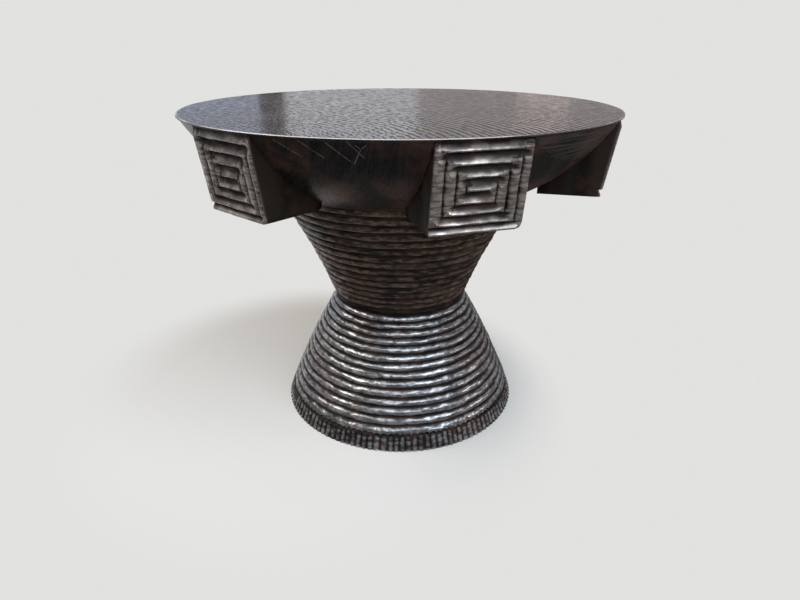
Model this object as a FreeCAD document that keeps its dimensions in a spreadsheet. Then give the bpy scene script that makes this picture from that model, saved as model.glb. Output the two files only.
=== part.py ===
# A round African drum table, carved in dark stained hardwood.
# The top is one thick slab, carved below into a shallow bowl. Six square lug blocks are let into housings
# round the bowl, and a square spiral is carved into the face of each. The top sits on an hourglass drum in
# two ridged cones, which meet at the waist, and the foot of the lower cone has a fluted band.
# Millimetres, Z up. The origin is on the floor, on the axis of the table, and lug block 1 faces -Y.
import FreeCAD, Part
import math
import os
import re
import Sketcher

# Every size that can be set by itself: alias, value, meaning.
SIZES = (
    ("table_height", 460, "floor to the top face"),
    ("top_radius", 300, "radius of the round top"),
    ("slab_thickness", 100, "top face to the flat underside of the bowl"),
    ("rim_thickness", 2.2, "thin edge that runs round the top"),
    ("rim_ease", 1, "bevel on the upper arris of the rim"),
    ("rim_overhang", 2, "step from the rim in to the bowl"),
    ("bowl_floor_radius", 192, "flat underside of the bowl"),
    ("bowl_bulge", 11, "how far the side of the bowl swells past a straight cone"),
    ("lug_count", 6, "blocks round the bowl"),
    ("lug_width", 106, "width of a block"),
    ("lug_setback", 6, "rim of the top in to the top edge of a block's face"),
    ("lug_depth", 94, "top edge of that face in to the back wall of its housing"),
    ("lug_lean", 15, "how far the face leans in at its foot"),
    ("lug_cover", 2.4, "wood left over a block"),
    ("lug_ease", 4, "rounding of the lower side edges of a block"),
    ("glue_gap", 0.15, "room for glue on each side of a block, tongue or tenon"),
    ("end_gap", 0.5, "room past each end of a tongue or tenon"),
    ("spiral_width", 9, "width of the carved groove"),
    ("spiral_depth", 4.5, "depth of the carved groove"),
    ("tongue_width", 60, "loose tongue behind a block, along the back wall"),
    ("tongue_thickness", 16, "thickness of a tongue"),
    ("tongue_length", 50, "length of a tongue, half in the block and half in the top"),
    ("tongue_drop", 50.6, "top of a block down to the middle of its tongue"),
    ("waist_height", 179, "floor to the waist"),
    ("waist_radius", 102, "crests of the ridges at the waist"),
    ("foot_radius", 188, "outside of the foot"),
    ("crown_radius", 189, "crests of the ridges under the top"),
    ("lower_bulge", 5, "how far the lower cone swells past a straight one"),
    ("upper_hollow", 6, "how far the upper cone is hollowed behind a straight one"),
    ("cut_flats", 48, "tool flats round a carved cone"),
    ("lower_ridges", 14, "ridges on the lower cone"),
    ("upper_ridges", 16, "ridges on the upper cone"),
    ("ridge_depth", 3.6, "crest of a ridge to the groove beside it"),
    ("band_height", 24, "floor to the top of the fluted band"),
    ("flute_count", 126, "flutes round the foot"),
    ("flute_depth", 2.4, "depth between two flutes"),
    ("dish_radius", 145, "hollow under the foot"),
    ("dish_depth", 6, "depth of that hollow"),
    ("waist_tenon_side", 60, "square loose tenon through the waist"),
    ("waist_tenon_length", 120, "length of that tenon"),
    ("top_tenon_side", 90, "square loose tenon between drum and top"),
    ("top_tenon_length", 84, "length of that tenon"),
    ("overrun", 10, "how far a cut runs past the face that it opens"),
)

# Places of the spiral groove on a block's face, as shares of its width from the left and of its height
# from the top. The legs run from the outside in: bottom, right, top, left, and so on.
LEFT_COLUMN_SHARES = (0.123, 0.247, 0.352)
RIGHT_COLUMN_SHARES = (0.910, 0.790, 0.674)
TOP_ROW_SHARES = (0.127, 0.263, 0.400)
BOTTOM_ROW_SHARES = (0.909, 0.793, 0.677)
CENTRE_ROW_SHARE = 0.543
CENTRE_END_SHARE = 0.590
# The blocks are set by hand, so some are turned a little from an even spacing, in degrees.
LUG_TURNS = (0, -0.4, 0, 0, 0, 1.9)
# The ridges grow from the waist outwards by this share of their mean width.
RIDGE_GROWTH_SHARE = 0.17

ALIASES = {alias for alias, value, meaning in SIZES}
X_AXIS = FreeCAD.Vector(1, 0, 0)
Y_AXIS = FreeCAD.Vector(0, 1, 0)
Z_AXIS = FreeCAD.Vector(0, 0, 1)
ORIGIN = FreeCAD.Vector(0, 0, 0)
SAME_PLACE = 1e-6

doc = FreeCAD.newDocument("DrumTable")
sheet = doc.addObject("Spreadsheet::Sheet", "Sizes")
for row, (alias, value, meaning) in enumerate(SIZES, start=1):
    sheet.set(f"A{row}", alias)
    sheet.set(f"B{row}", str(value))
    sheet.set(f"C{row}", meaning)
    sheet.setAlias(f"B{row}", alias)
doc.recompute()


def named(text):
    """The expression with every alias written as a cell of the sheet."""
    return re.sub(r"[a-z_]+", lambda word: f"Sizes.{word[0]}" if word[0] in ALIASES else word[0], text)


def number(text):
    """The value of an expression in the sheet's aliases."""
    value = sheet.evalExpression(named(text))
    return float(getattr(value, "Value", value))


def bind(thing, name, text):
    """Ties a property, or a constraint of a sketch, to an expression."""
    thing.setExpression(name, named(text))


def origin_feature(body, role):
    """One of the body's own planes or axes."""
    return next(f for f in body.Origin.OriginFeatures if f.Role == role)


def new_body(label):
    """An empty body with its name."""
    return doc.addObject("PartDesign::Body", label)


def new_sketch(body, name, role, height="0"):
    """A sketch on one of the body's planes, moved along that plane's normal."""
    sketch = body.newObject("Sketcher::SketchObject", name)
    sketch.AttachmentSupport = (origin_feature(body, role), [""])
    sketch.MapMode = "FlatFace"
    if height != "0":
        bind(sketch, "AttachmentOffset.Base.z", height)
    return sketch


def outline(sketch, corners, bulges=None, closed=True):
    """Draws corners, pairs of expressions, joined by lines, or by arcs where bulges gives the edge's rise.
    An arc rises to the right of the way from its first corner to its second."""
    bulges = bulges or {}
    points = [FreeCAD.Vector(number(x), number(y), 0) for x, y in corners]
    edges = len(points) if closed else len(points) - 1
    geometry = []
    for i in range(edges):
        first, second = points[i], points[(i + 1) % len(points)]
        if i in bulges:
            along = second - first
            right = FreeCAD.Vector(along.y, -along.x, 0).normalize()
            middle = (first + second) * 0.5 + right * number(bulges[i])
            geometry.append(Part.Arc(first, middle, second))
        else:
            geometry.append(Part.LineSegment(first, second))
    sketch.addGeometry(geometry, False)
    starts = []
    for i in range(edges):
        at_start = (sketch.getPoint(i, 1) - points[i]).Length < (sketch.getPoint(i, 2) - points[i]).Length
        starts.append((1, 2) if at_start else (2, 1))
    ties = []
    for i in range(edges if closed else edges - 1):
        after = (i + 1) % edges
        ties.append(Sketcher.Constraint("Coincident", i, starts[i][1], after, starts[after][0]))
    sketch.addConstraint(ties)
    for i, (x, y) in enumerate(corners):
        edge, end = (i, starts[i][0]) if i < edges else (i - 1, starts[i - 1][1])
        for kind, text, axis in (("DistanceX", x, -2), ("DistanceY", y, -1)):
            if text == "0":
                sketch.addConstraint(Sketcher.Constraint("PointOnObject", edge, end, axis))
            else:
                at = sketch.addConstraint(Sketcher.Constraint(kind, -1, 1, edge, end, number(text)))
                bind(sketch, f"Constraints[{at}]", text)
    for i, rise in bulges.items():
        (x1, y1), (x2, y2) = corners[i], corners[(i + 1) % len(corners)]
        radius = f"((({x2})-({x1}))^2+(({y2})-({y1}))^2)/(8*({rise}))+({rise})/2"
        at = sketch.addConstraint(Sketcher.Constraint("Radius", i, number(radius)))
        bind(sketch, f"Constraints[{at}]", radius)


def rectangle(sketch, left, low, right, high):
    """Draws an upright rectangle from expressions."""
    outline(sketch, ((left, low), (right, low), (right, high), (left, high)))


def revolve(body, name, corners, bulges=None):
    """A closed outline in X and Z, turned once round the axis."""
    sketch = new_sketch(body, name + "_outline", "XZ_Plane")
    outline(sketch, corners, bulges)
    feature = body.newObject("PartDesign::Revolution", name)
    feature.Profile = sketch
    feature.ReferenceAxis = (sketch, ["V_Axis"])
    feature.Angle = 360
    doc.recompute()
    return feature


def pocket(body, name, sketch, depth, upwards):
    """Cuts the sketch up or down to a depth, and makes sure that it did cut."""
    before = body.Shape.Volume
    feature = body.newObject("PartDesign::Pocket", name)
    feature.Profile = sketch
    feature.Reversed = upwards
    bind(feature, "Length", depth)
    doc.recompute()
    if body.Shape.Volume >= before:
        raise RuntimeError(f"{name} cuts nothing")
    return feature


def box(name, corner, size):
    """A box from its lowest corner and its size along X, Y and Z, as expressions."""
    block = doc.addObject("Part::Box", name)
    for side, text in zip(("Length", "Width", "Height"), size):
        bind(block, side, text)
    for axis, text in zip("xyz", corner):
        bind(block, f"Placement.Base.{axis}", text)
    return block


def combined(kind, name, base, tool):
    """A boolean of two objects. Its faces stay as they are cut, because joining hundreds of them is slow."""
    result = doc.addObject(kind, name)
    result.Refine = False
    result.Base = base
    result.Tool = tool
    doc.recompute()
    return result


def group(name, members):
    """Separate solids kept together under one name."""
    whole = doc.addObject("Part::Compound", name)
    whole.Links = members
    doc.recompute()
    return whole


def turned(angle):
    """A placement turned about the axis of the table, in degrees."""
    return FreeCAD.Placement(ORIGIN, FreeCAD.Rotation(Z_AXIS, angle))


# Heights and sizes that several pieces share
UNDERSIDE = "(table_height-slab_thickness)"
LUG_TOP = "(table_height-lug_cover)"
LUG_FACE = "(top_radius-lug_setback)"
HOUSING_BACK = f"({LUG_FACE}-lug_depth)"
TONGUE_HEIGHT = f"({LUG_TOP}-tongue_drop)"
TONGUE_REACH = "(tongue_length/2+end_gap)"
BAND_SHARE = "((waist_height-band_height)/waist_height)"
WAIST_TENON = ("waist_tenon_side", "waist_tenon_length", "waist_height")
TOP_TENON = ("top_tenon_side", "top_tenon_length", UNDERSIDE)


def lug_angle(number_of_lug):
    """Direction of a block from +X, in degrees. Block 1 faces -Y."""
    steps = number_of_lug - 1
    return -90 + 360 / number("lug_count") * steps + LUG_TURNS[steps % len(LUG_TURNS)]


def turned_copies(name, pattern):
    """One copy of what is modelled along +X at each block."""
    copies = []
    for i in range(1, int(number("lug_count")) + 1):
        copy = doc.addObject("Part::Compound", f"{name}_{i}")
        copy.Links = [pattern]
        copy.Placement = turned(lug_angle(i))
        copies.append(copy)
    return copies


# The top: a slab with a thin rim, carved below into a bowl
def make_table_top():
    body = new_body("top_blank")
    corners = (
        ("0", UNDERSIDE),
        ("bowl_floor_radius", UNDERSIDE),
        ("top_radius-rim_overhang", "table_height-rim_thickness"),
        ("top_radius", "table_height-rim_thickness"),
        ("top_radius", "table_height-rim_ease"),
        ("top_radius-rim_ease", "table_height"),
        ("0", "table_height"),
    )
    revolve(body, "bowl", corners, {1: "bowl_bulge"})

    # The socket for the tenon of the drum
    socket = new_sketch(body, "top_tenon_plan", "XY_Plane", UNDERSIDE)
    half = "(top_tenon_side/2+glue_gap)"
    rectangle(socket, f"-{half}", f"-{half}", half, half)
    pocket(body, "top_tenon_socket", socket, "top_tenon_length/2+end_gap", True)

    # The housings that the blocks are let into, each with a mortise for its tongue in the back wall
    half = "(lug_width/2+glue_gap)"
    corner = (HOUSING_BACK, f"-{half}", f"({UNDERSIDE}-overrun)")
    housing = box(
        "housing", corner, ("lug_setback+lug_depth+overrun", f"2*{half}", f"{LUG_TOP}-{UNDERSIDE}+overrun")
    )
    corner = (
        f"{HOUSING_BACK}-{TONGUE_REACH}",
        "-(tongue_width/2+glue_gap)",
        f"{TONGUE_HEIGHT}-tongue_thickness/2-glue_gap",
    )
    mortise = box(
        "mortise", corner, (f"{TONGUE_REACH}+overrun", "tongue_width+2*glue_gap", "tongue_thickness+2*glue_gap")
    )
    space = combined("Part::Fuse", "housing_space", housing, mortise)
    return combined("Part::Cut", "table_top", body, group("housings", turned_copies("housing_cut", space)))


def tongue_outline(sketch):
    """The mouth of a mortise."""
    half_width, half_height = "(tongue_width/2+glue_gap)", "(tongue_thickness/2+glue_gap)"
    rectangle(
        sketch,
        f"-{half_width}",
        f"{TONGUE_HEIGHT}-{half_height}",
        half_width,
        f"{TONGUE_HEIGHT}+{half_height}",
    )


# A lug block, modelled pointing along +X, with its face carved in a square spiral
def lug_face():
    """Placement of the face: its own X runs to the right, its Y up the slope, and its origin is top centre."""
    lean = math.degrees(math.atan2(number("lug_lean"), number(f"{LUG_TOP}-{UNDERSIDE}")))
    upright = FreeCAD.Rotation(Y_AXIS, Z_AXIS, X_AXIS, "XYZ")
    tilt = FreeCAD.Rotation(X_AXIS, lean)
    corner = FreeCAD.Vector(number(LUG_FACE), 0, number(LUG_TOP))
    return FreeCAD.Placement(corner, upright.multiply(tilt))


def spiral_corners():
    """Corners of the groove on the face, from the left edge inwards, as expressions."""
    height = f"sqrt(({LUG_TOP}-{UNDERSIDE})^2+lug_lean^2)"
    columns_and_rows = [(None, BOTTOM_ROW_SHARES[0])]
    for ring in range(len(LEFT_COLUMN_SHARES)):
        right, top, left = RIGHT_COLUMN_SHARES[ring], TOP_ROW_SHARES[ring], LEFT_COLUMN_SHARES[ring]
        rows = BOTTOM_ROW_SHARES + (CENTRE_ROW_SHARE,)
        columns_and_rows += [(right, rows[ring]), (right, top), (left, top), (left, rows[ring + 1])]
    columns_and_rows.append((CENTRE_END_SHARE, CENTRE_ROW_SHARE))
    corners = []
    for column, row in columns_and_rows:
        across = "-(lug_width/2+overrun)" if column is None else f"{column}*lug_width-lug_width/2"
        corners.append((across, f"-{row}*{height}"))
    return corners


def make_spiral_groove():
    """The solid that the groove takes away: two sloping sides that meet in a sharp bottom."""
    face = lug_face()
    spine = doc.addObject("Sketcher::SketchObject", "spiral_line")
    spine.Placement = face
    corners = spiral_corners()
    outline(spine, corners, closed=False)
    section = doc.addObject("Sketcher::SketchObject", "spiral_section")
    start = FreeCAD.Vector(number(corners[0][0]), number(corners[0][1]), 0)
    across = FreeCAD.Rotation(Y_AXIS, Z_AXIS, X_AXIS, "XYZ")
    section.Placement = face.multiply(FreeCAD.Placement(start, across))
    half = "(spiral_width/2)"
    bottom = ("0", "-spiral_depth")
    left_side = ((f"-{half}", "spiral_depth"), (f"-{half}", "0"))
    right_side = ((half, "0"), (half, "spiral_depth"))
    outline(section, (*left_side, bottom, *right_side))
    groove = doc.addObject("Part::Sweep", "spiral_groove")
    doc.recompute()
    groove.Sections = [section]
    groove.Spine = (spine, [f"Edge{i + 1}" for i in range(len(corners) - 1)])
    groove.Solid = True
    groove.Transition = "Right corner"
    doc.recompute()
    return groove


def make_lug_blank():
    """The plain block with its leaning face and the mortise in its back."""
    body = new_body("lug_blank")
    side = new_sketch(body, "lug_side", "XZ_Plane")
    back = f"({HOUSING_BACK}+glue_gap)"
    foot = f"({LUG_FACE}-lug_lean)"
    outline(side, ((back, UNDERSIDE), (foot, UNDERSIDE), (LUG_FACE, LUG_TOP), (back, LUG_TOP)))
    block = body.newObject("PartDesign::Pad", "lug")
    block.Profile = side
    block.SideType = "Symmetric"
    bind(block, "Length", "lug_width")
    doc.recompute()

    # The two lower edges that run in to the bowl are rounded
    floor = number(UNDERSIDE)
    low = [
        f"Edge{i + 1}"
        for i, edge in enumerate(block.Shape.Edges)
        if all(abs(v.Point.z - floor) < SAME_PLACE for v in edge.Vertexes)
        and abs(edge.Vertexes[0].Point.y - edge.Vertexes[-1].Point.y) < SAME_PLACE
    ]
    eased = body.newObject("PartDesign::Fillet", "lug_eased")
    eased.Base = (block, low)
    bind(eased, "Radius", "lug_ease")
    doc.recompute()

    mortise_plan = new_sketch(body, "lug_mortise_plan", "YZ_Plane", back)
    tongue_outline(mortise_plan)
    pocket(body, "lug_mortise", mortise_plan, f"{TONGUE_REACH}-glue_gap", True)
    return body


def make_lug_blocks():
    """The same carved block in each housing."""
    blank, groove = make_lug_blank(), make_spiral_groove()
    blocks = []
    for i in range(1, int(number("lug_count")) + 1):
        block = doc.addObject("Part::Cut", f"lug_block_{i}")
        block.Base = blank
        block.Tool = groove
        block.Placement = turned(lug_angle(i))
        blocks.append(block)
    doc.recompute()
    return blocks


def make_lug_tongues():
    """One loose tongue from each housing's back wall into its block."""
    corner = (f"{HOUSING_BACK}-tongue_length/2", "-tongue_width/2", f"{TONGUE_HEIGHT}-tongue_thickness/2")
    pattern = box("tongue_pattern", corner, ("tongue_length", "tongue_width", "tongue_thickness"))
    return group("lug_tongues", turned_copies("tongue", pattern))


# The drum: the crest line of each cone is a shallow curve, and its ridges are cut with a flat tool
def crest(share, end_radius, end_height, swell):
    """Radius and height on a crest line, from the waist at 0 to the cone's wide end at 1, as expressions."""
    radius = f"(waist_radius+({end_radius}-waist_radius)*{share}+4*({swell})*{share}*(1-{share}))"
    return radius, f"(waist_height+({end_height}-waist_height)*{share})"


def make_ridged_cone(name, ridges, reach, end_radius, end_height, swell):
    """A ruled loft through groove, crest, groove and so on, from the waist to the share in reach."""
    flats = []
    for k in range(2 * ridges + 1):
        along = k / (2 * ridges)
        grown = along * (1 - RIDGE_GROWTH_SHARE + RIDGE_GROWTH_SHARE * along)
        radius, height = crest(f"({reach}*{grown:.5f})", end_radius, end_height, swell)
        flat = doc.addObject("Part::RegularPolygon", f"{name}_{k}")
        bind(flat, "Polygon", "cut_flats")
        bind(flat, "Circumradius", radius if k % 2 else f"{radius}-ridge_depth")
        bind(flat, "Placement.Base.z", height)
        flats.append(flat)
    cone = doc.addObject("Part::Loft", name)
    cone.Sections = flats
    cone.Solid = True
    cone.Ruled = True
    doc.recompute()
    return cone


def tenon_box(name, side, length, middle_height, gap="0", end="0"):
    """A square tenon on the axis of the table, or the socket for it with the gaps given."""
    half, reach = f"({side}/2+{gap})", f"({length}/2+{end})"
    corner = (f"-{half}", f"-{half}", f"{middle_height}-{reach}")
    return box(name, corner, (f"2*{half}", f"2*{half}", f"2*{reach}"))


def make_drum_upper():
    cone = make_ridged_cone(
        "upper_cone", int(number("upper_ridges")), "1", "crown_radius", UNDERSIDE, "-upper_hollow"
    )
    sockets = (
        tenon_box("upper_waist_socket", *WAIST_TENON, "glue_gap", "end_gap"),
        tenon_box("crown_socket", *TOP_TENON, "glue_gap", "end_gap"),
    )
    return combined("Part::Cut", "drum_upper", cone, group("drum_upper_sockets", sockets))


def make_flutes():
    """The fluted band as a ruled solid between two star-shaped outlines."""
    steps = 2 * int(number("flute_count"))
    rings = []
    for share in ("1", BAND_SHARE):
        radius, height = crest(share, "foot_radius", "0", "lower_bulge")
        points = []
        for k in range(steps):
            reach = number(radius) - number("flute_depth") * (k % 2)
            angle = 2 * math.pi * k / steps
            points.append(FreeCAD.Vector(reach * math.cos(angle), reach * math.sin(angle), number(height)))
        rings.append(Part.makePolygon(points + points[:1]))
    flutes = doc.addObject("Part::Feature", "flutes")
    flutes.Shape = Part.makeLoft(rings, True, True)
    return flutes


def make_drum_lower():
    cone = make_ridged_cone(
        "lower_cone", int(number("lower_ridges")), BAND_SHARE, "foot_radius", "0", "lower_bulge"
    )
    dish = doc.addObject("Part::Cylinder", "dish")
    bind(dish, "Radius", "dish_radius")
    bind(dish, "Height", "dish_depth")
    foot = combined("Part::Cut", "foot", make_flutes(), dish)
    whole = combined("Part::Fuse", "carved_foot", cone, foot)
    socket = tenon_box("lower_waist_socket", *WAIST_TENON, "glue_gap", "end_gap")
    return combined("Part::Cut", "drum_lower", whole, socket)


pieces = [make_table_top()]
pieces += make_lug_blocks()
pieces.append(make_lug_tongues())
pieces.append(make_drum_upper())
pieces.append(make_drum_lower())
pieces.append(tenon_box("waist_tenon", *WAIST_TENON))
pieces.append(tenon_box("top_tenon", *TOP_TENON))
doc.recompute()

for thing in doc.Objects:
    if {"Invalid", "Error"} & set(thing.State):
        raise RuntimeError(f"{thing.Label} failed: {thing.State}")
for piece in pieces:
    if piece.Shape.isNull() or not piece.Shape.isValid() or not piece.Shape.Solids:
        raise RuntimeError(f"{piece.Label} has no valid solid")

os.makedirs("parts", exist_ok=True)
for piece in pieces:
    piece.Shape.exportStep(f"parts/{piece.Label}.step")
    print(f"{piece.Label}: {len(piece.Shape.Solids)} solids, {piece.Shape.Volume / 1000:.1f} cm3")
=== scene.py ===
import math
from itertools import product

import bpy
import numpy as np
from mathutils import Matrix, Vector


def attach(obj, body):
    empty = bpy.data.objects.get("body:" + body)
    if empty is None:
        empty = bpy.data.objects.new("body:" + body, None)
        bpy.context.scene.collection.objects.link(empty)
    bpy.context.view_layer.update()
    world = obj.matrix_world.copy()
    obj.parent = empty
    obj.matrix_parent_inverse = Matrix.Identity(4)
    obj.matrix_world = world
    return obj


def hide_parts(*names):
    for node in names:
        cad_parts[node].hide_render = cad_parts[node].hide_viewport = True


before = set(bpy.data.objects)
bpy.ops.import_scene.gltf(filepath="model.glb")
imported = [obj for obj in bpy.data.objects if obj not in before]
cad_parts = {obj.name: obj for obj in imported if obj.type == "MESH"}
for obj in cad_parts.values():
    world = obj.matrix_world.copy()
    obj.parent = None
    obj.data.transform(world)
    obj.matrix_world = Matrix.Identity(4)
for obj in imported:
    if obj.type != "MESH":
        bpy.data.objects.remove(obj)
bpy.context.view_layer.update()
MM = 0.001

# The camera, in metres and degrees
CAMERA_PLACE = (-0.24317, -0.81312, 0.5464)
CAMERA_PITCH = 65.352
CAMERA_HEADING = 16.65
CAMERA_CLIP = 0.01
LENS = 25.70
SENSOR_WIDTH = 36

# Sizes that are the same as those of the part
TABLE_HEIGHT = 460
TOP_RADIUS = 300
UNDERSIDE = 360
RIM_THICKNESS = 2.2
RIM_OVERHANG = 2
BOWL_FLOOR_RADIUS = 192
BOWL_BULGE = 11
LUG_COUNT = 6
LUG_WIDTH = 106
LUG_TOP = 457.6
LUG_LEAN = 15
LUG_TURNS = (0, -0.4, 0, 0, 0, 1.9)
LUG_INNER_RADIUS = 200
GLUE_GAP = 0.15
END_GAP = 0.5
TONGUE_WIDTH = 60
TONGUE_THICKNESS = 16
TONGUE_LENGTH = 50
TONGUE_HEIGHT = 407
WAIST_HEIGHT = 179
WAIST_RADIUS = 102
FOOT_RADIUS = 188
CROWN_RADIUS = 189
LOWER_BULGE = 5
UPPER_HOLLOW = 6
LOWER_RIDGES = 14
UPPER_RIDGES = 16
RIDGE_GROWTH_SHARE = 0.17
FLUTE_COUNT = 126
DISH_RADIUS = 145
DISH_DEPTH = 6
WAIST_TENON_SIDE = 60
WAIST_TENON_LENGTH = 120
TOP_TENON_SIDE = 90
TOP_TENON_LENGTH = 84

# How far a cut runs past the face that it opens
HOUSING_OVERRUN = 10
MORTISE_OVERRUN = 5

# Columns of points round each turned mesh, and the seeds of the random draws
UPPER_COLUMNS = 840
LOWER_COLUMNS = 8 * FLUTE_COUNT
TOP_COLUMNS = 960
UPPER_SEED = 5
LOWER_SEED = 11
TOP_SEED = 3
LUG_SEED = 100


# The camera stands where the photograph was taken from
def make_camera():
    data = bpy.data.cameras.new("camera")
    data.lens = LENS
    data.sensor_width = SENSOR_WIDTH
    data.clip_start = CAMERA_CLIP
    camera = bpy.data.objects.new("camera", data)
    camera.location = CAMERA_PLACE
    camera.rotation_euler = (math.radians(CAMERA_PITCH), 0, math.radians(-CAMERA_HEADING))
    bpy.context.scene.collection.objects.link(camera)
    bpy.context.scene.camera = camera


# Random but repeatable unevenness
def soft_step(x):
    return x * x * (3 - 2 * x)


def ring_noise(rng, angles, cells):
    """Smooth random values round the axis, from -1 to 1, which meet after one turn."""
    values = rng.uniform(-1, 1, cells)
    place = angles / math.tau * cells
    low = np.floor(place).astype(int)
    mix = soft_step(place - low)
    return values[low % cells] * (1 - mix) + values[(low + 1) % cells] * mix


# The part of a stroke of the gouge in which it passes into the next one
STROKE_CHANGE_SHARE = 0.2


def stroke_noise(rng, angles, strokes):
    """A random value for each stroke of the gouge round the axis, from -1 to 1."""
    values = rng.uniform(-1, 1, strokes)
    place = (angles / math.tau * strokes + rng.uniform(0, 1)) % strokes
    low = np.floor(place).astype(int)
    mix = soft_step(np.clip((place - low - 1) / STROKE_CHANGE_SHARE + 1, 0, 1))
    return values[low % strokes] * (1 - mix) + values[(low + 1) % strokes] * mix


def hand_cut(rng, angles, layers, middle=0):
    """Uneven values round the axis: an amount and cells of smooth change, then of strokes."""
    (smooth, cells), (sharp, strokes) = layers
    return middle + smooth * ring_noise(rng, angles, cells) + sharp * stroke_noise(rng, angles, strokes)


def field_noise(rng, across, along, across_cells, along_cells):
    """Smooth random values from -1 to 1 on a surface whose two coordinates run from 0 to 1."""
    values = rng.uniform(-1, 1, (across_cells + 2, along_cells + 2))
    x = np.clip(across, 0, 1) * across_cells
    y = np.clip(along, 0, 1) * along_cells
    i = np.floor(x).astype(int)
    j = np.floor(y).astype(int)
    a = soft_step(x - i)
    b = soft_step(y - j)
    near = values[i, j] * (1 - a) + values[i + 1, j] * a
    far = values[i, j + 1] * (1 - a) + values[i + 1, j + 1] * a
    return near * (1 - b) + far * b


def layered_noise(rng, across, along, layers):
    """A sum of noises on a surface, each an amount and the cells both ways."""
    return sum(amount * field_noise(rng, across, along, cells, cells) for amount, cells in layers)


# Meshes
def make_object(name, points, faces, crest, grain=None, run=None):
    """A smooth mesh from points in millimetres. Each group of faces has one number of corners."""
    mesh = bpy.data.meshes.new(name)
    mesh.vertices.add(len(points))
    mesh.vertices.foreach_set("co", (points * MM).astype(np.float32).ravel())
    corners = np.concatenate([group.ravel() for group in faces]).astype(np.int32)
    totals = np.concatenate([np.full(len(group), group.shape[1]) for group in faces])
    mesh.loops.add(len(corners))
    mesh.loops.foreach_set("vertex_index", corners)
    mesh.polygons.add(len(totals))
    mesh.polygons.foreach_set("loop_start", (np.cumsum(totals) - totals).astype(np.int32))
    mesh.update(calc_edges=True)
    mesh.validate()
    heights = mesh.attributes.new("crest", "FLOAT", "POINT")
    heights.data.foreach_set("value", crest.astype(np.float32).ravel())
    for title, values in (("grain", grain), ("run", run)):
        values = points if values is None else values
        places = mesh.attributes.new(title, "FLOAT_VECTOR", "POINT")
        places.data.foreach_set("vector", (values * MM).astype(np.float32).ravel())
    mesh.shade_smooth()
    thing = bpy.data.objects.new(name, mesh)
    bpy.context.scene.collection.objects.link(thing)
    return thing


def turned_object(name, rows, top_pole, low_pole, crest):
    """A closed mesh from rings of points, from the top inwards and outwards down to the foot and in again."""
    count, columns = rows.shape[:2]
    points = np.concatenate([rows.reshape(-1, 3), [[0, 0, top_pole], [0, 0, low_pole]]])
    index = np.arange(count * columns).reshape(count, columns)
    after = np.roll(index, -1, axis=1)
    quads = np.stack([index[:-1], index[1:], after[1:], after[:-1]], axis=-1).reshape(-1, 4)
    top = np.full(columns, count * columns)
    upper = np.stack([top, index[0], after[0]], axis=-1)
    lower = np.stack([top + 1, after[-1], index[-1]], axis=-1)
    caps = np.concatenate([upper, lower])
    crest = np.concatenate([crest.ravel(), [0, 0]])
    return make_object(name, points, (quads, caps), crest)


def turn_angles(columns):
    return np.arange(columns) * math.tau / columns


def ring(angles, radius, height):
    """One ring of points. Radius and height are numbers or one value for each angle."""
    radius = np.broadcast_to(radius, angles.shape)
    height = np.broadcast_to(height, angles.shape)
    return np.stack([radius * np.cos(angles), radius * np.sin(angles), height], axis=-1)


def mortise_rings(angles, tenon_side, *heights):
    """Rings of points that follow a tenon's square mortise round the axis."""
    side = tenon_side + 2 * GLUE_GAP
    reach = side / 2 / np.maximum(np.abs(np.cos(angles)), np.abs(np.sin(angles)))
    return [ring(angles, reach, height) for height in heights]


def turned(points, turn):
    """Points turned about the axis."""
    c, s = math.cos(turn), math.sin(turn)
    x, y, z = points.T
    return np.stack([x * c - y * s, x * s + y * c, z], axis=-1)


def lug_turn(number):
    """How far a block is turned about the axis from the first one."""
    return (number - 1) * math.tau / LUG_COUNT + math.radians(LUG_TURNS[number - 1])


def finish_piece(thing, node, slot, *materials):
    """Gives the piece its materials, hides the part's mesh that it stands for and hangs it on the root body.
    """
    thing.data.materials.clear()
    for material in materials:
        thing.data.materials.append(material)
    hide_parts(node)
    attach(thing, "root")


# Corners of each side of a box, whose corners are counted along Z, then Y, then X
BOX_SIDES = ((0, 1, 3, 2), (4, 6, 7, 5), (0, 4, 5, 1), (2, 3, 7, 6), (0, 2, 6, 4), (1, 5, 7, 3))


def box_cutter(half_width, depths, heights, turn):
    """A plain box to cut with, turned about the axis."""
    corners = np.array(list(product((-half_width, half_width), depths, heights)), dtype=float)
    return make_object("cutter", turned(corners, turn), (np.array(BOX_SIDES),), np.zeros(len(corners)))


def tongue_cutter(inwards, turn):
    """Half of a tongue's mortise, on one side of a housing's back wall. Inwards is 1 or -1."""
    mouth = -LUG_INNER_RADIUS - inwards * MORTISE_OVERRUN
    end = -LUG_INNER_RADIUS + inwards * (TONGUE_LENGTH / 2 + END_GAP)
    half = TONGUE_THICKNESS / 2 + GLUE_GAP
    heights = (TONGUE_HEIGHT - half, TONGUE_HEIGHT + half)
    return box_cutter(TONGUE_WIDTH / 2 + GLUE_GAP, sorted((mouth, end)), heights, turn)


def cut(thing, cutters):
    """Takes the cutters out of a mesh and deletes them."""
    for cutter in cutters:
        modifier = thing.modifiers.new("cut", "BOOLEAN")
        modifier.operation = "DIFFERENCE"
        modifier.solver = "MANIFOLD"
        modifier.object = cutter
    graph = bpy.context.evaluated_depsgraph_get()
    made = bpy.data.meshes.new_from_object(thing.evaluated_get(graph))
    thing.modifiers.clear()
    old = thing.data
    thing.data = made
    made.name = old.name
    bpy.data.meshes.remove(old)
    for cutter in cutters:
        bpy.data.objects.remove(cutter)


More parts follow.
